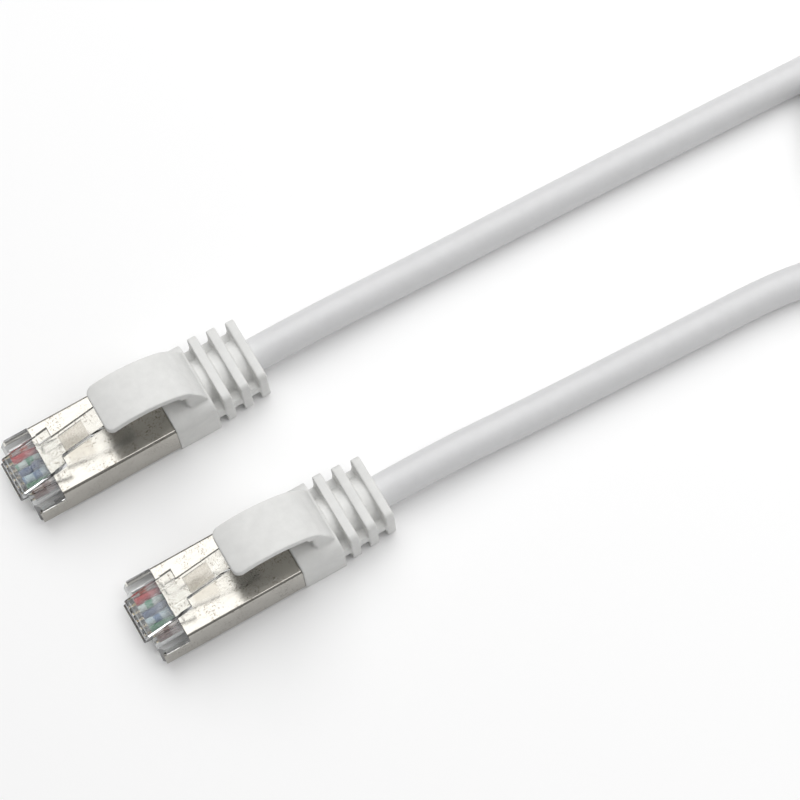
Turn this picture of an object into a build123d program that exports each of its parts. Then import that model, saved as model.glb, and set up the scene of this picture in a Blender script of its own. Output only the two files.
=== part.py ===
from build123d import *
import math
import os

# Shielded ethernet patch cable: two eight-way modular plugs with moulded boots, one round cable
# between them, and the spare length wound in a tied coil.
# Millimetres. +X runs from the plug noses along the cable, +Y to plug A, +Z up.
# The boots rest on z = 0, and the origin is under the middle of the two plugs.
# Each plug is drawn in its own frame: x = 0 at the front of the nose lip, y = 0 on the middle line.

os.makedirs("parts", exist_ok=True)

# ---------------------------------------------------------------- driving dimensions
plug_spacing = 27.5        # between the middle lines of the two plugs
plug_stagger = 5.3         # plug B lies this much further along +X
boot_end_x = 39.1          # rear face of the boot, where the cable comes out
cable_diameter = 5.1
cable_axis_z = 4.0         # height of the cable's axis inside the boot

pin_count = 8
pin_pitch = 1.02
wire_diameter = 0.98
core_diameter = 0.52
wire_row_z = 5.2

body_bottom_z = 0.5        # underside of the plug above the surface
body_top_z = 7.1
body_width = 11.7
metal_sheet = 0.3
nose_face_x = 1.2          # front face of the transparent body, behind the lip
metal_front_x = 5.7
metal_rear_x = 23.85
running_gap = 0.05

lip_width = 6.1
latch_pivot = (0.95, 7.43)
latch_slope = math.radians(17.2)
latch_thick = 1.2
latch_width = 6.2
latch_shoulder_x = 8.1
latch_pad_start = 6.1
latch_pad_rise = 0.3
tail_width = 3.3
tail_level_x = 15.5
tail_end_x = 19.0

guard_pivot = (27.2, 12.2)
guard_front_x = 15.1
guard_width = 7.6
guard_thick = 1.3
guard_knuckle_radius = 0.7

boot_front_x = 23.9
boot_block_rear_x = 30.5
boot_block_width = 12.0
boot_block_top_z = 8.3
boot_shoulder_radius = 2.3
rib_front_x = (31.8, 34.75, 37.7)
rib_width = (11.4, 10.9, 10.4)
rib_top_z = (8.35, 8.25, 8.15)
rib_thick = 1.4
sleeve_radius = 3.6
web_bottom_z = 2.5         # the webs join the ribs beside the sleeve
web_top_z = 4.6
web_inset = 0.3            # from a rib's end to the web in front of it

plug_a_origin = (-(boot_end_x + plug_stagger) / 2, plug_spacing / 2, 0)
plug_b_origin = (plug_a_origin[0] + plug_stagger, -plug_spacing / 2, 0)

# Centre line of the cable, outside the boots: a chosen route, straight as the cable lies,
# then easing out to the coil.
floor_z = 2.6
route_a = [
    (16.9, 13.75, cable_axis_z),
    (28.0, 13.75, cable_axis_z),
    (42.0, 13.65, 2.65),
    (69.0, 13.0, floor_z),
    (98.0, 12.1, floor_z),
    (115.0, 11.4, floor_z),
]
route_b = [
    (22.2, -13.75, cable_axis_z),
    (33.0, -13.75, cable_axis_z),
    (47.0, -14.25, 2.65),
    (70.0, -15.15, floor_z),
    (94.5, -16.0, floor_z),
    (107.3, -23.2, floor_z),
    (114.9, -35.5, floor_z),
]

# The coil: a full ring of turns, with one part turn around its outside on the surface.
coil_centre = (137.0, -12.0)
turn_pitch = 5.13
middle_turn_radius = 25.8
coil_height = 10.4
part_turn_start = -126.0   # degrees from +X, where lead B comes in
part_turn_sweep = 186.0
lead_reach_a = 10.0        # how far each lead's stub runs on inside the coil
lead_reach_b = 10.0
tie_angle = -45.0
tie_width = 10.0
tie_thick = 0.8


# ---------------------------------------------------------------- small helpers
def block(x0, x1, y0, y1, z0, z1):
    """A box between two corners."""
    middle = ((x0 + x1) / 2, (y0 + y1) / 2, (z0 + z1) / 2)
    return Pos(*middle) * Box(x1 - x0, y1 - y0, z1 - z0)


def side_prism(outline, width):
    """An outline of edges in the XZ plane, extruded evenly to both sides of y = 0."""
    return extrude(make_face(outline), amount=width / 2, dir=(0, 1, 0), both=True)


def side_polygon(points, width):
    """A straight-sided outline of (x, z) points, extruded evenly to both sides of y = 0."""
    return side_prism(Polyline([(x, 0, z) for x, z in points], close=True), width)


def x_cylinder(radius, x0, x1, y, z):
    """A cylinder along X."""
    return Pos((x0 + x1) / 2, y, z) * Rot(0, 90, 0) * Cylinder(radius, x1 - x0)


def y_cylinder(radius, x, z, width):
    """A cylinder along Y, centred on y = 0."""
    return Pos(x, 0, z) * Rot(90, 0, 0) * Cylinder(radius, width)


def pin_y(pin):
    """Middle of contact number pin, 1 on the +Y side to 8 on the -Y side."""
    return ((pin_count + 1) / 2 - pin) * pin_pitch


def round_tube(path, outer_radius):
    """A round bar swept along a path."""
    section = Plane(origin=path @ 0, z_dir=path % 0) * Circle(outer_radius)
    return sweep(section, path=path)


# ---------------------------------------------------------------- plug: transparent body
nose_width = 11.6
inner_body_width = 10.95
inner_body_bottom_z = 0.88
inner_body_top_z = 6.72
comb_top_z = 4.15          # top of the contact slots
front_cavity = (1.9, 12.8, 8.7, comb_top_z, 6.3)      # x from, x to, width, z from, z to
rear_cavity = (12.8, metal_rear_x, 9.4, 1.8, 6.2)
flange_front_x = 1.5       # the screen's side flanges reach forward to here
flange_top_z = 4.6
contact_rear_x = 5.0
lip_bottom_z = 5.5
pocket_floor_z = 6.6       # the latch's root lies in a pocket above this


def cavity(x0, x1, width, z0, z1):
    return block(x0, x1, -width / 2, width / 2, z0, z1)


def make_housing():
    nose = block(nose_face_x, metal_front_x - running_gap, -nose_width / 2, nose_width / 2,
                 body_bottom_z, body_top_z - running_gap)
    nose = chamfer(nose.edges().filter_by(Axis.Z).group_by(Axis.X)[0], 0.75)
    lip = block(0, nose_face_x, -lip_width / 2, lip_width / 2, lip_bottom_z, pocket_floor_z)
    lip = fillet(lip.edges().filter_by(Axis.Y).group_by(Axis.X)[0], 0.4)
    inner = block(metal_front_x - running_gap, metal_rear_x, -inner_body_width / 2,
                  inner_body_width / 2, inner_body_bottom_z, inner_body_top_z)
    shape = nose + lip + inner
    shape -= cavity(*front_cavity)
    shape -= cavity(*rear_cavity)
    for pin in range(1, pin_count + 1):
        y = pin_y(pin)
        shape -= block(0, contact_rear_x + 0.1, y - 0.19, y + 0.19, 0, comb_top_z)
    # room for the latch's root above the nose, and the round seat that it turns in
    pocket_half = latch_width / 2 + 0.1
    shape -= block(-1, metal_front_x, -pocket_half, pocket_half, pocket_floor_z, body_top_z + 1)
    shape -= y_cylinder(latch_thick / 2 + running_gap, *latch_pivot, 2 * pocket_half)
    # side recesses for the screen's forward flanges
    for side in (-1, 1):
        outer = side * body_width / 2
        inner_face = side * (body_width / 2 - metal_sheet - running_gap)
        shape -= block(flange_front_x - 0.1, metal_front_x, min(outer, inner_face),
                       max(outer, inner_face), 0, flange_top_z + running_gap)
    return shape


# ---------------------------------------------------------------- plug: latch
def latch_top(x):
    """Height of the sloping upper face of the latch at rest."""
    above = latch_thick / 2 / math.cos(latch_slope)
    return latch_pivot[1] + above + (x - latch_pivot[0]) * math.tan(latch_slope)


def make_latch():
    drop = latch_thick / math.cos(latch_slope)
    x0 = latch_pivot[0]
    wide = side_polygon([
        (x0, latch_top(x0)),
        (latch_shoulder_x, latch_top(latch_shoulder_x)),
        (latch_shoulder_x, latch_top(latch_shoulder_x) - drop),
        (x0, latch_top(x0) - drop),
    ], latch_width)
    level_z = latch_top(tail_level_x)
    tail = side_polygon([
        (x0, latch_top(x0)),
        (tail_level_x, level_z),
        (tail_end_x, level_z + 0.1),
        (tail_end_x, level_z - latch_thick + 0.1),
        (tail_level_x + 0.2, level_z - latch_thick),
        (x0, latch_top(x0) - drop),
    ], tail_width)
    knuckle = y_cylinder(latch_thick / 2, *latch_pivot, latch_width)
    # raised blocks either side of the tail, which carry the locking shoulders
    pad_outline = [
        (latch_pad_start, latch_top(latch_pad_start)),
        (latch_pad_start + 0.2, latch_top(latch_pad_start + 0.2) + latch_pad_rise),
        (latch_shoulder_x, latch_top(latch_shoulder_x) + latch_pad_rise),
        (latch_shoulder_x, latch_top(latch_shoulder_x) - 0.4),
        (latch_pad_start, latch_top(latch_pad_start) - 0.4),
    ]
    pads = side_polygon(pad_outline, latch_width) - side_polygon(pad_outline, tail_width)
    shape = wide + tail + knuckle + pads
    # frosted thumb of the tail: a shallow pocket in its underside
    pocket_start = latch_shoulder_x + 0.9
    pocket_end = 12.9
    pocket = side_polygon([
        (pocket_start, latch_top(pocket_start) - drop + 0.25),
        (pocket_end, latch_top(pocket_end) - drop + 0.25),
        (pocket_end, latch_top(pocket_end) - drop - 1),
        (pocket_start, latch_top(pocket_start) - drop - 1),
    ], tail_width - 0.7)
    return shape - pocket


# ---------------------------------------------------------------- plug: metal screen
def make_shield():
    half = body_width / 2
    outer = block(metal_front_x, metal_rear_x, -half, half, body_bottom_z, body_top_z)
    outer = fillet(outer.edges().filter_by(Axis.X), 0.45)
    inner = block(metal_front_x - 1, metal_rear_x + 1, -half + metal_sheet, half - metal_sheet,
                  body_bottom_z + metal_sheet, body_top_z - metal_sheet)
    inner = fillet(inner.edges().filter_by(Axis.X), 0.15)
    shape = outer - inner
    # the underside is open under the contacts
    shape -= block(0, 12.0, -4.7, 4.7, 0, body_bottom_z + metal_sheet + 0.01)
    for side in (-1, 1):
        y_out = side * half
        y_in = side * (half - metal_sheet)
        shape += block(flange_front_x, metal_front_x + 0.5, min(y_out, y_in), max(y_out, y_in),
                       body_bottom_z + 0.4, flange_top_z)
    return shape


# ---------------------------------------------------------------- plug: contacts and wires
prong_starts = (2.1, 2.75, 3.4)
prong_base = 0.5
prong_tip_z = 5.35
blade_top_z = 4.1
blade_thick = 0.32


def prong(start, grow=0.0):
    """One pointed prong of a contact; grow widens it into the slot that it makes."""
    return side_polygon([
        (start - grow, blade_top_z - 0.3),
        (start - grow, 4.9),
        (start + prong_base / 2, prong_tip_z + grow),
        (start + prong_base + grow, 4.9),
        (start + prong_base + grow, blade_top_z - 0.3),
    ], blade_thick + 2 * grow)


def make_contact(pin):
    blade = block(nose_face_x + 0.35, contact_rear_x, -blade_thick / 2, blade_thick / 2,
                  0.95, blade_top_z)
    blade = fillet(blade.edges().filter_by(Axis.Y).group_by(Axis.X)[0], 0.6)
    for start in prong_starts:
        blade += prong(start)
    return Pos(0, pin_y(pin), 0) * blade


bundle_radius = 1.42
wire_front_x = 1.95
wire_spread_x = 13.4
wire_gather_x = 24.3
wire_end_x = 28.5


def wire_path(pin):
    """From the contact row, through two staggered levels, into the round bundle."""
    y = pin_y(pin)
    pair = (pin - 1) // 2
    upper = pin % 2 == 1
    angle = math.radians(22.5 + 45 * pair)
    bundle_y = bundle_radius * math.cos(angle)
    bundle_z = bundle_radius * math.sin(angle) * (1 if upper else -1)
    level_z = wire_row_z + 0.1 if upper else 3.8
    return FilletPolyline(
        [
            (wire_front_x, y, wire_row_z),
            (wire_spread_x, y, wire_row_z),
            (17.2, y, level_z),
            (wire_gather_x, bundle_y, cable_axis_z + bundle_z),
            (wire_end_x, bundle_y, cable_axis_z + bundle_z),
        ],
        radius=2.0,
    )


def cut_prongs(shape, pin):
    """The slots that a contact's prongs press into a wire."""
    for start in prong_starts:
        shape -= Pos(0, pin_y(pin), 0) * prong(start, 0.01)
    return shape


def make_wire(pin):
    path = wire_path(pin)
    return cut_prongs(round_tube(path, wire_diameter / 2) - round_tube(path, core_diameter / 2), pin)


def make_cores():
    cores = []
    for pin in range(1, pin_count + 1):
        cores.append(cut_prongs(round_tube(wire_path(pin), core_diameter / 2 - 0.01), pin))
    return Compound(children=[solid for core in cores for solid in core.solids()])


def make_load_bar():
    """The carrier that holds the eight wires in their row: a grooved plate under a cover."""
    x0 = 4.0
    x1 = 12.7
    half = 4.3
    shape = block(x0, x1, -half, half, comb_top_z + 0.02, 6.28)
    shape -= block(x0 - 1, x1 + 1, -half + 0.12, half - 0.12, 5.05, 5.74)
    for pin in range(1, pin_count + 1):
        shape -= x_cylinder(wire_diameter / 2 + 0.01, x0 - 1, x1 + 1, pin_y(pin), wire_row_z)
    return shape


# ---------------------------------------------------------------- cable end inside the boot
jacket_start_x = 24.2
jacket_inner_radius = 2.08
ferrule_outer_radius = 3.0


def ring_along_x(outer_radius, inner_radius, x0, x1):
    outer = x_cylinder(outer_radius, x0, x1, 0, cable_axis_z)
    return outer - x_cylinder(inner_radius, x0 - 1, x1 + 1, 0, cable_axis_z)


def make_jacket_end():
    return ring_along_x(cable_diameter / 2, jacket_inner_radius, jacket_start_x, boot_end_x)


def make_foil():
    return ring_along_x(jacket_inner_radius - 0.02, bundle_radius + 0.52, jacket_start_x, wire_end_x)


def make_ferrule():
    collar = ring_along_x(3.25, cable_diameter / 2 + 0.03, 24.25, 24.7)
    return collar + ring_along_x(ferrule_outer_radius, cable_diameter / 2 + 0.03, 24.7, 28.2)


# ---------------------------------------------------------------- boot and latch guard
def guard_arc(lift):
    """The guard's arched line over the latch; lift is measured from its upper face."""
    return ThreePointArc(
        (guard_front_x, 0, 14.2 + lift),
        (20.6, 0, 15.0 + lift),
        (27.2, 0, 13.15 + lift),
    )


def make_guard():
    top = guard_arc(0)
    under = guard_arc(-guard_thick)
    ends = [Line(top @ 0, under @ 0), Line(top @ 1, under @ 1)]
    strip = side_prism([top, under] + ends, guard_width)
    strip = fillet(strip.edges().filter_by(Axis.Z).group_by(Axis.X)[0], 1.2)
    return strip + y_cylinder(guard_knuckle_radius, *guard_pivot, guard_width)


def boot_root():
    """The fixed end of the guard: a hump on the block, with the seat that the guard turns in."""
    x0 = guard_pivot[0] + 0.1
    crest = ThreePointArc((x0, 0, 12.9), (28.7, 0, 11.3), (boot_block_rear_x - 0.35, 0, 8.45))
    outline = [
        crest,
        Line(crest @ 1, (boot_block_rear_x - 0.35, 0, 6.5)),
        Line((boot_block_rear_x - 0.35, 0, 6.5), (x0, 0, 6.5)),
        Line((x0, 0, 6.5), crest @ 0),
    ]
    hump = side_prism(outline, 12)
    cross_section = Polyline(
        [(x0, -4.5, 6.5), (x0, 4.5, 6.5), (x0, 4.0, 9.5), (x0, 3.8, 13.5),
         (x0, -3.8, 13.5), (x0, -4.0, 9.5)],
        close=True,
    )
    hump &= extrude(make_face(cross_section), amount=4, dir=(1, 0, 0))
    return hump - y_cylinder(guard_knuckle_radius + 0.08, *guard_pivot, 12)


def make_boot():
    half = boot_block_width / 2
    front = block(boot_front_x, boot_block_rear_x, -half, half, 0, boot_block_top_z)
    front = fillet(front.edges().filter_by(Axis.X).group_by(Axis.Z)[-1], boot_shoulder_radius)
    front = fillet(front.edges().filter_by(Axis.X).group_by(Axis.Z)[0], 0.5)
    shape = front + boot_root()
    shape += x_cylinder(sleeve_radius, boot_block_rear_x - 1, boot_end_x, 0, cable_axis_z)
    web_front_x = boot_block_rear_x
    for x, width, top in zip(rib_front_x, rib_width, rib_top_z):
        rib = block(x, x + rib_thick, -width / 2, width / 2, 0.1, top)
        shape += fillet(rib.edges().filter_by(Axis.X), 0.9)
        web_half = width / 2 - web_inset
        shape += block(web_front_x - 0.5, x + 0.5, -web_half, web_half, web_bottom_z, web_top_z)
        web_front_x = x + rib_thick
    # the front wall of the root, which closes the gap under the guard
    shape += block(27.05, guard_pivot[0] + 0.6, -3.8, 3.8, boot_block_top_z - 1, 11.35)
    shape -= x_cylinder(3.35, boot_front_x - 1, 28.6, 0, cable_axis_z)
    shape -= x_cylinder(cable_diameter / 2 + 0.03, 28, boot_end_x + 1, 0, cable_axis_z)
    return shape


# ---------------------------------------------------------------- cable outside the boots
def corner_radii(points):
    """The largest tangent arc at each corner of a route: 0.45 of the shorter run."""
    radii = []
    for before, here, after in zip(points, points[1:], points[2:]):
        arriving = Vector(*here) - Vector(*before)
        leaving = Vector(*after) - Vector(*here)
        half_turn = math.radians(arriving.get_angle(leaving)) / 2
        radii.append(0.45 * min(arriving.length, leaving.length) / math.tan(half_turn))
    return radii


def make_run(name, points):
    radii = corner_radii(points)
    path = FilletPolyline(points, radius=radii)
    tube = round_tube(path, cable_diameter / 2)
    section = math.pi * (cable_diameter / 2) ** 2
    print(name, "radii", [round(radius) for radius in radii], "length", round(path.length, 1),
          "volume ratio", round(tube.volume / (section * path.length), 4))
    return tube


def lead_stub(points, reach):
    """The cable's first stretch inside the coil, straight on from the end of its route."""
    end = Vector(*points[-1])
    direction = (end - Vector(*points[-2])).normalized()
    start_plane = Plane(origin=end, z_dir=direction)
    return extrude(start_plane * Circle(cable_diameter / 2), amount=reach)


ring_inner_radius = middle_turn_radius - turn_pitch - cable_diameter / 2
ring_outer_radius = middle_turn_radius + cable_diameter / 2 - 0.05
coil_outer_radius = middle_turn_radius + turn_pitch + cable_diameter / 2


def make_coil():
    ring = Cylinder(ring_outer_radius, coil_height) - Cylinder(ring_inner_radius, coil_height)
    ring = fillet(ring.edges().filter_by(GeomType.CIRCLE), 2.0)
    shape = Pos(0, 0, coil_height / 2) * ring
    # the part turn overlaps the ring, so that the two fuse
    width = coil_outer_radius - middle_turn_radius
    section = Plane.XZ * Pos(middle_turn_radius + width / 2, cable_diameter / 2)
    section *= RectangleRounded(width, cable_diameter, 2.0)
    shape += Rot(0, 0, part_turn_start) * revolve(section, Axis.Z, part_turn_sweep)
    # the tie passes underneath here
    half = tie_width / 2 + 0.3
    under_tie = block(ring_inner_radius - 3, coil_outer_radius + 3, -half, half,
                      -1, tie_thick + running_gap)
    shape -= Rot(0, 0, tie_angle) * under_tie
    shape = Pos(*coil_centre, 0) * shape
    shape += lead_stub(route_a, lead_reach_a)
    return shape + lead_stub(route_b, lead_reach_b)


def make_tie():
    """A strap around the ring and the part turn, drawn down over the step between them."""
    half = tie_width / 2
    x0 = math.sqrt(ring_inner_radius ** 2 - half ** 2) - 0.1
    x1 = coil_outer_radius + 0.25
    top = coil_height + 0.8
    inside = Polyline(
        [(x0, 0, tie_thick), (x1, 0, tie_thick), (x1, 0, 5.2), (x1 - 6.1, 0, top), (x0, 0, top)],
        close=True,
    )
    face = make_face(inside)
    face = fillet(face.vertices(), 0.9)
    strap = extrude(offset(face, tie_thick), amount=half, dir=(0, 1, 0), both=True)
    strap -= extrude(face, amount=half + 1, dir=(0, 1, 0), both=True)
    return Pos(*coil_centre, 0) * Rot(0, 0, tie_angle) * strap


# ---------------------------------------------------------------- write every node
def write(name, shape):
    export_step(shape, "parts/" + name + ".step")


plug_nodes = {
    "housing": make_housing(),
    "latch": make_latch(),
    "shield": make_shield(),
    "load_bar": make_load_bar(),
    "wire_cores": make_cores(),
    "cable_jacket_end": make_jacket_end(),
    "foil_wrap": make_foil(),
    "crimp_ferrule": make_ferrule(),
    "boot": make_boot(),
    "latch_guard": make_guard(),
}
for pin in range(1, pin_count + 1):
    plug_nodes["contact_%d" % pin] = make_contact(pin)
    plug_nodes["wire_%d" % pin] = make_wire(pin)

for letter, origin in (("a", plug_a_origin), ("b", plug_b_origin)):
    for node, shape in plug_nodes.items():
        write(node + "_" + letter, Pos(*origin) * shape)

write("cable_run_a", make_run("cable_run_a", route_a))
write("cable_run_b", make_run("cable_run_b", route_b))
write("cable_coil", make_coil())
write("coil_tie", make_tie())
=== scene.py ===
import math

import bmesh
import bpy
from mathutils import Matrix, Vector


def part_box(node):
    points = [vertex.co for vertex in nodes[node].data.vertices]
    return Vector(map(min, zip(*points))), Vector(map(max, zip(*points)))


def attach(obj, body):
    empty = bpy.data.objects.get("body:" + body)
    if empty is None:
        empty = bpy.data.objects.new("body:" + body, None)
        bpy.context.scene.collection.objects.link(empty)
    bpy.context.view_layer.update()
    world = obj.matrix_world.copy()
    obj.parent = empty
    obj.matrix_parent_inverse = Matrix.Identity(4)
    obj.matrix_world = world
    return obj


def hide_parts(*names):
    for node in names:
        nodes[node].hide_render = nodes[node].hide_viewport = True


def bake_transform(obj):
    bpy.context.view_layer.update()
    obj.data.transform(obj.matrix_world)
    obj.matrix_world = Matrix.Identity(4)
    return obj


# Shielded ethernet patch cable: the looks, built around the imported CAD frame.
# Lengths here are metres; MM turns millimetres into metres.

MM = 0.001
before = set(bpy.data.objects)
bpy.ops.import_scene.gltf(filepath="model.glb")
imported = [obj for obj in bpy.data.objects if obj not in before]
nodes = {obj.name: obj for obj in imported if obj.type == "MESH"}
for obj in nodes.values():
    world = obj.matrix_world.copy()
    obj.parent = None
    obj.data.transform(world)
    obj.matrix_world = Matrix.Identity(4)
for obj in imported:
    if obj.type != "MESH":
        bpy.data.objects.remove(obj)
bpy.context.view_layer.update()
scene = bpy.context.scene
scene.view_settings.view_transform = "Standard"

plugs = ("a", "b")
pin_count = 8
cable_diameter = 5.1 * MM

# Each plug's own origin: the front of its nose lip, on its middle line, on the surface.
plug_origin = {}
for plug in plugs:
    low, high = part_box("housing_" + plug)
    plug_origin[plug] = Vector((low.x, (low.y + high.y) / 2, 0))


def on_plug(plug, x, y, z):
    """A point given in millimetres from a plug's own origin."""
    return plug_origin[plug] + Vector((x, y, z)) * MM


def smooth_step(value, start, end):
    """0 up to start, 1 from end on, and eased between them."""
    t = min(1.0, max(0.0, (value - start) / (end - start)))
    return t * t * (3 - 2 * t)


# ---------------------------------------------------------------- camera
camera_place = Vector((-25.28, -143.7, 407.2)) * MM
camera_target = Vector((31.96, -3.1, 4.0)) * MM
camera_roll = -8.16
camera_lens = 135


def add_camera():
    """A long lens from above and in front of the plugs, slightly rolled."""
    data = bpy.data.cameras.new("camera")
    data.lens = camera_lens
    data.sensor_width = 36
    data.clip_start = 0.01
    camera = bpy.data.objects.new("camera", data)
    scene.collection.objects.link(camera)
    aim = (camera_target - camera_place).to_track_quat("-Z", "Y").to_matrix().to_4x4()
    roll = Matrix.Rotation(math.radians(camera_roll), 4, "Z")
    camera.matrix_world = Matrix.Translation(camera_place) @ aim @ roll
    scene.camera = camera


# ---------------------------------------------------------------- lights and floor
def add_softbox(name, location, target, width, height, watts):
    data = bpy.data.lights.new(name, "AREA")
    data.shape = "RECTANGLE"
    data.size = width
    data.size_y = height
    data.energy = watts
    light = bpy.data.objects.new(name, data)
    scene.collection.objects.link(light)
    light.location = location
    light.rotation_euler = (Vector(target) - Vector(location)).to_track_quat("-Z", "Y").to_euler()
    return light


def add_studio():
    """A pale room, one large box behind the plugs for the metal, and a small fill in front."""
    world = bpy.data.worlds.new("studio")
    world.use_nodes = True
    background = world.node_tree.nodes["Background"]
    background.inputs["Color"].default_value = (0.92, 0.92, 0.92, 1)
    background.inputs["Strength"].default_value = 0.31
    scene.world = world
    centre = (0.03, 0.0, 0.0)
    add_softbox("overhead", (0.24, 0.26, 0.62), centre, 0.8, 0.8, 4.2)
    fill = add_softbox("fill", (0.22, -0.2, 0.6), centre, 0.35, 0.35, 1.1)
    # it isn't seen in the metal or through the clear plastic
    fill.visible_glossy = False
    fill.visible_transmission = False


def add_floor():
    mesh = bpy.data.meshes.new("floor")
    reach = 3.0
    corners = [(-reach, -reach, 0), (reach, -reach, 0), (reach, reach, 0), (-reach, reach, 0)]
    mesh.from_pydata(corners, [], [(0, 1, 2, 3)])
    floor = bpy.data.objects.new("floor", mesh)
    scene.collection.objects.link(floor)
    material = bpy.data.materials.new("floor")
    material.use_nodes = True
    shader = material.node_tree.nodes["Principled BSDF"]
    shader.inputs["Base Color"].default_value = (0.96, 0.96, 0.96, 1)
    shader.inputs["Roughness"].default_value = 0.9
    shader.inputs["Specular IOR Level"].default_value = 0.1
    mesh.materials.append(material)


# ---------------------------------------------------------------- material helpers
class Recipe:
    """A node material under construction, with object coordinates as its pattern space."""

    def __init__(self, name):
        self.material = bpy.data.materials.new(name)
        self.material.use_nodes = True
        self.tree = self.material.node_tree
        self.shader = self.tree.nodes["Principled BSDF"]
        self.space = self.node("ShaderNodeTexCoord").outputs["Object"]

    def node(self, kind, **settings):
        made = self.tree.nodes.new(kind)
        for key, value in settings.items():
            setattr(made, key, value)
        return made

    def link(self, source, target):
        self.tree.links.new(source, target)

    def set(self, **values):
        for key, value in values.items():
            self.shader.inputs[key.replace("_", " ")].default_value = value

    def stretched(self, x, y, z):
        mapping = self.node("ShaderNodeMapping")
        mapping.inputs["Scale"].default_value = (x, y, z)
        self.link(self.space, mapping.inputs["Vector"])
        return mapping.outputs["Vector"]

    def noise(self, feature, detail=3.0, roughness=0.5, space=None):
        """Noise whose features are about that many metres across."""
        made = self.node("ShaderNodeTexNoise")
        made.inputs["Scale"].default_value = 1.0 / feature
        made.inputs["Detail"].default_value = detail
        made.inputs["Roughness"].default_value = roughness
        self.link(space or self.space, made.inputs["Vector"])
        return made.outputs["Fac"]

    def ramp(self, value, stops):
        made = self.node("ShaderNodeValToRGB")
        elements = made.color_ramp.elements
        while len(elements) < len(stops):
            elements.new(0.5)
        for element, (place, colour) in zip(elements, stops):
            element.position = place
            element.color = (*colour, 1)
        self.link(value, made.inputs["Fac"])
        return made.outputs["Color"]

    def remap(self, value, low, high, to_low, to_high):
        made = self.node("ShaderNodeMapRange")
        for socket, number in zip(("From Min", "From Max", "To Min", "To Max"),
                                  (low, high, to_low, to_high)):
            made.inputs[socket].default_value = number
        self.link(value, made.inputs["Value"])
        return made.outputs["Result"]

    def bump(self, height, distance, strength=1.0):
        made = self.node("ShaderNodeBump")
        made.inputs["Distance"].default_value = distance
        made.inputs["Strength"].default_value = strength
        self.link(height, made.inputs["Height"])
        self.link(made.outputs["Normal"], self.shader.inputs["Normal"])

    def colour_from(self, socket):
        self.link(socket, self.shader.inputs["Base Color"])

    def roughness_from(self, socket):
        self.link(socket, self.shader.inputs["Roughness"])


def clear_plastic(name, tint, ripple):
    """Polycarbonate: clear and polished, with faint flow marks from the mould."""
    recipe = Recipe(name)
    recipe.set(Base_Color=(*tint, 1), IOR=1.5, Transmission_Weight=1.0, Specular_IOR_Level=0.3)
    flow = recipe.noise(2.2 * MM, 2.0, space=recipe.stretched(0.35, 1, 1))
    recipe.roughness_from(recipe.remap(flow, 0.35, 0.75, 0.02, 0.07))
    recipe.bump(flow, 0.05 * MM, ripple)
    return recipe.material


def milky_plastic():
    """The wire carrier: the same plastic with a frosted skin, so that colours behind it pale."""
    recipe = Recipe("milky_polycarbonate")
    recipe.set(Base_Color=(0.95, 0.95, 0.95, 1), IOR=1.35)
    recipe.set(Transmission_Weight=0.97, Specular_IOR_Level=0.25)
    grain = recipe.noise(0.15 * MM, 3.0)
    recipe.roughness_from(recipe.remap(grain, 0.3, 0.7, 0.07, 0.14))
    recipe.bump(grain, 0.02 * MM, 0.3)
    return recipe.material


def frosted_plastic():
    """The rough-blasted pocket under the latch's tail."""
    recipe = Recipe("frosted_polycarbonate")
    recipe.set(IOR=1.5, Transmission_Weight=1.0)
    grain = recipe.noise(0.25 * MM, 4.0, 0.7)
    thick = (0.55, 0.51, 0.46)
    thin = (0.88, 0.85, 0.8)
    recipe.colour_from(recipe.ramp(grain, [(0.4, thick), (0.6, thin)]))
    recipe.roughness_from(recipe.remap(grain, 0.35, 0.65, 0.3, 0.5))
    recipe.bump(grain, 0.03 * MM, 0.5)
    return recipe.material


def nickel():
    """Plated sheet: warm, fine rolling grain, worn patches of small dark pits."""
    recipe = Recipe("nickel_screen")
    recipe.set(Metallic=1.0)
    grain = recipe.noise(0.35 * MM, 4.0, 0.6, recipe.stretched(0.25, 1, 1))
    pits = recipe.noise(0.24 * MM, 3.0, 0.7)
    patches = recipe.noise(2.4 * MM, 3.0, 0.6)
    spots = recipe.node("ShaderNodeMath", operation="MULTIPLY")
    recipe.link(recipe.remap(pits, 0.54, 0.62, 0.0, 1.0), spots.inputs[0])
    recipe.link(recipe.remap(patches, 0.44, 0.56, 0.0, 0.9), spots.inputs[1])
    plating = (0.49, 0.472, 0.432)
    pit = (0.2, 0.175, 0.145)
    recipe.colour_from(recipe.ramp(spots.outputs[0], [(0.0, plating), (1.0, pit)]))
    recipe.roughness_from(recipe.remap(grain, 0.3, 0.7, 0.14, 0.27))
    recipe.bump(grain, 0.008 * MM, 0.5)
    return recipe.material


def vinyl(name, colour, roughness, mottle):
    """Soft moulded vinyl: a fine even grain and a faint cloudiness."""
    recipe = Recipe(name)
    recipe.set(IOR=1.52, Subsurface_Weight=0.08, Subsurface_Scale=0.6 * MM)
    recipe.set(Subsurface_Radius=(1.0, 0.95, 0.9))
    cloud = recipe.noise(1.6 * MM, 4.0, 0.6)
    dark = tuple(c * (1 - mottle) for c in colour)
    light = tuple(min(1.0, c * (1 + mottle * 0.5)) for c in colour)
    recipe.colour_from(recipe.ramp(cloud, [(0.3, dark), (0.7, light)]))
    grain = recipe.noise(0.16 * MM, 3.0, 0.6)
    recipe.roughness_from(recipe.remap(grain, 0.3, 0.7, roughness - 0.06, roughness + 0.08))
    recipe.bump(grain, 0.02 * MM, 0.35)
    return recipe.material


def gold():
    recipe = Recipe("gold_contact")
    recipe.set(Metallic=1.0)
    wear = recipe.noise(0.3 * MM, 3.0)
    recipe.colour_from(recipe.ramp(wear, [(0.35, (0.78, 0.6, 0.34)), (0.7, (0.9, 0.75, 0.48))]))
    recipe.roughness_from(recipe.remap(wear, 0.3, 0.7, 0.15, 0.3))
    return recipe.material


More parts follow.
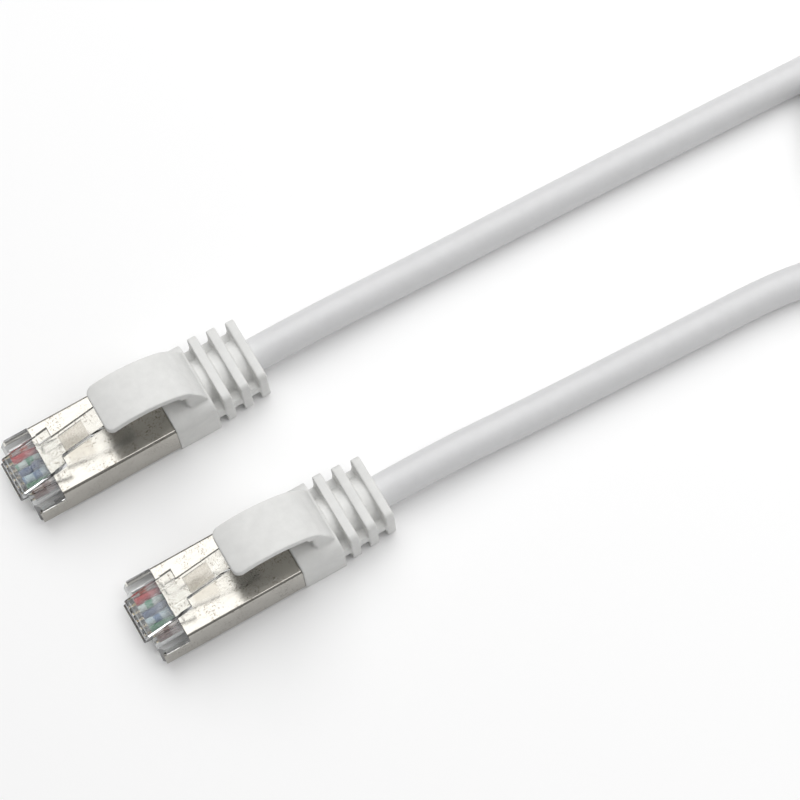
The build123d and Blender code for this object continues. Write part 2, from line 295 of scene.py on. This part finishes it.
def copper():
    recipe = Recipe("bare_copper")
    recipe.set(Metallic=1.0)
    draw = recipe.noise(0.2 * MM, 3.0, space=recipe.stretched(0.1, 1, 1))
    recipe.colour_from(recipe.ramp(draw, [(0.3, (0.75, 0.36, 0.22)), (0.7, (0.9, 0.5, 0.34))]))
    recipe.roughness_from(recipe.remap(draw, 0.3, 0.7, 0.2, 0.35))
    return recipe.material


def foil():
    recipe = Recipe("foil")
    recipe.set(Metallic=1.0)
    crinkle = recipe.noise(0.5 * MM, 4.0)
    recipe.colour_from(recipe.ramp(crinkle, [(0.3, (0.7, 0.71, 0.73)), (0.7, (0.88, 0.88, 0.9))]))
    recipe.roughness_from(recipe.remap(crinkle, 0.3, 0.7, 0.2, 0.4))
    recipe.bump(crinkle, 0.1 * MM, 0.6)
    return recipe.material


# By pin: the insulation's own colour, and its rings' colour on the light wire of each pair.
insulation_colours = {
    1: ((0.46, 0.38, 0.36), (0.42, 0.07, 0.03)),
    2: ((0.42, 0.03, 0.035), None),
    3: ((0.40, 0.46, 0.43), (0.04, 0.2, 0.11)),
    4: ((0.008, 0.04, 0.125), None),
    5: ((0.33, 0.42, 0.46), (0.03, 0.10, 0.22)),
    6: ((0.02, 0.14, 0.06), None),
    7: ((0.42, 0.36, 0.33), (0.12, 0.05, 0.035)),
    8: ((0.075, 0.03, 0.025), None),
}


def insulation(pin):
    """Thin coloured insulation; a light wire carries its pair's colour as printed rings."""
    ring_pitch = 2.4 * MM
    base, ring = insulation_colours[pin]
    recipe = Recipe("insulation_%d" % pin)
    recipe.set(IOR=1.5, Specular_IOR_Level=0.2)
    cloud = recipe.noise(0.5 * MM, 3.0)
    shaded = recipe.ramp(cloud, [(0.3, tuple(c * 0.88 for c in base)), (0.7, base)])
    if ring:
        wave = recipe.node("ShaderNodeTexWave", bands_direction="X")
        # a wave texture has 20 radians in each unit of scale
        wave.inputs["Scale"].default_value = math.tau / 20 / ring_pitch
        wave.inputs["Distortion"].default_value = 0.6
        recipe.link(recipe.space, wave.inputs["Vector"])
        mask = recipe.remap(wave.outputs["Fac"], 0.55, 0.62, 0.0, 1.0)
        mix = recipe.node("ShaderNodeMix", data_type="RGBA")
        recipe.link(mask, mix.inputs["Factor"])
        recipe.link(shaded, mix.inputs["A"])
        mix.inputs["B"].default_value = (*ring, 1)
        recipe.colour_from(mix.outputs["Result"])
    else:
        recipe.colour_from(shaded)
    recipe.roughness_from(recipe.remap(cloud, 0.3, 0.7, 0.3, 0.42))
    return recipe.material


def tie_fabric():
    """Hook-and-loop tape: a close dark weave under a fuzz of loops."""
    recipe = Recipe("tie_fabric")
    recipe.set(Sheen_Weight=0.5, Roughness=0.9)
    fuzz = recipe.noise(0.25 * MM, 4.0, 0.7)
    weave = recipe.node("ShaderNodeTexChecker")
    thread = 0.5 * MM
    weave.inputs["Scale"].default_value = 1 / thread
    recipe.link(recipe.space, weave.inputs["Vector"])
    recipe.colour_from(recipe.ramp(fuzz, [(0.3, (0.03, 0.03, 0.033)), (0.75, (0.11, 0.11, 0.12))]))
    both = recipe.node("ShaderNodeMath", operation="ADD")
    recipe.link(fuzz, both.inputs[0])
    recipe.link(weave.outputs["Fac"], both.inputs[1])
    recipe.bump(both.outputs[0], 0.12 * MM, 0.8)
    return recipe.material


def paint(node, material, clear=False):
    """Gives a CAD node its material. Clear plastic lets the lights reach what is inside it."""
    materials = nodes[node].data.materials
    materials.clear()
    materials.append(material)
    nodes[node].visible_shadow = not clear


# ---------------------------------------------------------------- boots and latches
def apply_modifiers(piece):
    graph = bpy.context.evaluated_depsgraph_get()
    graph.update()
    piece.data = bpy.data.meshes.new_from_object(piece.evaluated_get(graph))
    piece.modifiers.clear()


def finish_mesh(piece, *materials):
    piece.data.shade_smooth()
    piece.data.materials.clear()
    for material in materials:
        piece.data.materials.append(material)


# The latch at rest: the sloping sheet through its pivot, and the pocket sunk into its tail from
# below, whose ceiling lies this far under the middle of the sheet.
latch_pivot = (0.95, 7.43)
latch_slope = math.radians(17.2)
pocket_x = (9.0, 12.8)
ceiling_drop = (0.3, 0.45)


def on_ceiling(face, plug):
    x, y, z = (face.center - plug_origin[plug]) / MM
    drop = latch_pivot[1] + (x - latch_pivot[0]) * math.tan(latch_slope) - z
    inside = pocket_x[0] < x < pocket_x[1] and ceiling_drop[0] < drop < ceiling_drop[1]
    return inside and face.normal.z < -0.9


def add_latch(plug, material, frosted):
    """The latch with its moulded edges eased, so that they catch the light."""
    node = "latch_" + plug
    latch = bpy.data.objects.new("latch_skin_" + plug, nodes[node].data.copy())
    scene.collection.objects.link(latch)
    weld = latch.modifiers.new("weld", "WELD")
    weld.merge_threshold = 0.01 * MM
    flat = latch.modifiers.new("flat", "DECIMATE")
    flat.decimate_type = "DISSOLVE"
    flat.angle_limit = math.radians(2)
    ease = latch.modifiers.new("ease", "BEVEL")
    ease.width = 0.07 * MM
    ease.segments = 3
    ease.limit_method = "ANGLE"
    ease.angle_limit = math.radians(35)
    apply_modifiers(latch)
    finish_mesh(latch, material, frosted)
    for face in latch.data.polygons:
        face.material_index = 1 if on_ceiling(face, plug) else 0
    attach(latch, node)
    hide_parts(node)
    latch.visible_shadow = False


# Side view of the filler round the hinge, which carries the line of the guard's top over it.
hinge_filler = [(25.8, 13.8), (26.6, 13.46), (27.2, 13.12), (27.7, 12.68), (28.2, 12.1),
                (28.6, 11.55), (28.2, 11.0), (26.4, 11.5)]
hinge_half_width = 3.8


def add_filler(shape, plug):
    """The filler's outline carried across the guard's width as a closed prism."""
    sides = []
    for y in (-hinge_half_width, hinge_half_width):
        sides.append([shape.verts.new(on_plug(plug, x, y, z)) for x, z in hinge_filler])
    left, right = sides
    shape.faces.new(left)
    shape.faces.new(right[::-1])
    for here in range(len(hinge_filler)):
        after = (here + 1) % len(hinge_filler)
        shape.faces.new((left[after], left[here], right[here], right[after]))


def swell_weight(x, y, z):
    """1 on the hinge's upper side, fading to 0 around it."""
    along = smooth_step(x, 24.8, 26.4) * smooth_step(-x, -29.3, -28.3)
    return along * smooth_step(z, 11.0, 12.0) * smooth_step(-abs(y), -3.7, -3.2)


def add_boot_skin(plug, material):
    """One moulded vinyl piece: the boot and its guard run into each other at a living hinge."""
    shape = bmesh.new()
    for node in ("boot_", "latch_guard_"):
        shape.from_mesh(nodes[node + plug].data)
    add_filler(shape, plug)
    mesh = bpy.data.meshes.new("boot_skin_" + plug)
    shape.to_mesh(mesh)
    shape.free()
    skin = bpy.data.objects.new("boot_skin_" + plug, mesh)
    scene.collection.objects.link(skin)
    remesh = skin.modifiers.new("remesh", "REMESH")
    remesh.mode = "VOXEL"
    remesh.voxel_size = 0.17 * MM
    soften = skin.modifiers.new("soften", "SMOOTH")
    soften.factor = 0.5
    soften.iterations = 3
    apply_modifiers(skin)
    # the hinge is moulded as one smooth swell, so its upper side is smoothed much more
    group = skin.vertex_groups.new(name="hinge")
    for vertex in skin.data.vertices:
        weight = swell_weight(*(vertex.co - plug_origin[plug]) / MM)
        if weight > 0:
            group.add([vertex.index], weight, "REPLACE")
    swell = skin.modifiers.new("swell", "SMOOTH")
    swell.vertex_group = "hinge"
    swell.factor = 0.6
    swell.iterations = 45
    thin = skin.modifiers.new("thin", "DECIMATE")
    thin.ratio = 0.3
    apply_modifiers(skin)
    skin.vertex_groups.clear()
    finish_mesh(skin, material)
    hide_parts("boot_" + plug, "latch_guard_" + plug)
    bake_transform(skin)


# ---------------------------------------------------------------- the cable
# The routes are in millimetres, from inside each plug's boot to the coil.
floor_z = 2.6
route_a = [
    (16.9, 13.75, 4.0),
    (28.0, 13.75, 4.0),
    (42.0, 13.65, 2.65),
    (69.0, 13.0, floor_z),
    (98.0, 12.1, floor_z),
    (115.0, 11.4, floor_z),
]
route_b = [
    (22.2, -13.75, 4.0),
    (33.0, -13.75, 4.0),
    (47.0, -14.25, 2.65),
    (70.0, -15.15, floor_z),
    (94.5, -16.0, floor_z),
    (107.3, -23.2, floor_z),
    (114.9, -35.5, floor_z),
]
coil_centre = (137.0, -12.0)
turn_pitch = 5.13
middle_turn_radius = 25.8
tie_angle = -45.0


def coil_points():
    """Lead A comes in on the surface, and the turns go in, up, out, and down to lead B.

    They run clockwise. Each move to the next place is made in the last part of a turn, the upper
    turns first, so that no turn runs into the one that makes room for it.
    """
    steps_per_turn = 16
    first_step = -1
    last_step = 73
    # a quadratic spline runs inside its control points, so these stand out by this factor
    swell = 1 / (0.75 + 0.25 * math.cos(math.tau / steps_per_turn))
    # the turns rise a little where the tie passes under them
    tie_lift = 0.85
    points = []
    for step in range(first_step, last_step + 1):
        turn = step / steps_per_turn
        angle = math.radians(90 - 360 * turn)
        inward = smooth_step(turn, 0.68, 0.98)
        upward = smooth_step(turn, 1.59, 1.89)
        outward = smooth_step(turn, 2.5, 2.8)
        over_lead = smooth_step(turn, 3.46, 3.74)
        downward = smooth_step(turn, 4.0, 4.2)
        radius = middle_turn_radius + turn_pitch * (outward - inward + over_lead)
        gap = math.remainder(math.degrees(angle) - tie_angle, 360)
        lift = tie_lift * smooth_step(-abs(gap), -42, -16)
        z = floor_z + turn_pitch * (upward - downward) + lift
        points.append((coil_centre[0] + radius * swell * math.cos(angle),
                       coil_centre[1] + radius * swell * math.sin(angle), z))
    return points


def add_cable(material):
    points = route_a + coil_points() + route_b[::-1]
    curve = bpy.data.curves.new("patch_cable", "CURVE")
    curve.dimensions = "3D"
    curve.bevel_depth = cable_diameter / 2
    curve.bevel_resolution = 7
    curve.resolution_u = 8
    curve.use_fill_caps = True
    spline = curve.splines.new("NURBS")
    spline.points.add(len(points) - 1)
    for point, place in zip(spline.points, points):
        point.co = (*(Vector(place) * MM), 1)
    spline.order_u = 3
    spline.use_endpoint_u = True
    spline.use_smooth = True
    curve.materials.append(material)
    cable = bpy.data.objects.new("patch_cable", curve)
    scene.collection.objects.link(cable)
    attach(cable, "root")
    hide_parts("cable_run_a", "cable_coil", "cable_run_b")


# ---------------------------------------------------------------- put it together
add_camera()
add_studio()
add_floor()

body_plastic = clear_plastic("body_polycarbonate", (0.8, 0.81, 0.81), 0.08)
bar_plastic = milky_plastic()
pocket_plastic = frosted_plastic()
latch_plastic = clear_plastic("latch_polycarbonate", (0.93, 0.94, 0.945), 0.2)
screen_metal = nickel()
contact_gold = gold()
core_copper = copper()
foil_metal = foil()
boot_vinyl = vinyl("boot_vinyl", (0.715, 0.715, 0.70), 0.5, 0.05)
jacket_vinyl = vinyl("cable_jacket", (0.67, 0.67, 0.675), 0.36, 0.03)
insulations = {pin: insulation(pin) for pin in range(1, pin_count + 1)}

for plug in plugs:
    paint("housing_" + plug, body_plastic, clear=True)
    paint("load_bar_" + plug, bar_plastic, clear=True)
    add_latch(plug, latch_plastic, pocket_plastic)
    for name in ("shield", "crimp_ferrule"):
        paint(name + "_" + plug, screen_metal)
    add_boot_skin(plug, boot_vinyl)
    paint("cable_jacket_end_" + plug, jacket_vinyl)
    paint("wire_cores_" + plug, core_copper)
    paint("foil_wrap_" + plug, foil_metal)
    for pin in range(1, pin_count + 1):
        paint("contact_%d_%s" % (pin, plug), contact_gold)
        paint("wire_%d_%s" % (pin, plug), insulations[pin])
paint("coil_tie", tie_fabric())
add_cable(jacket_vinyl)
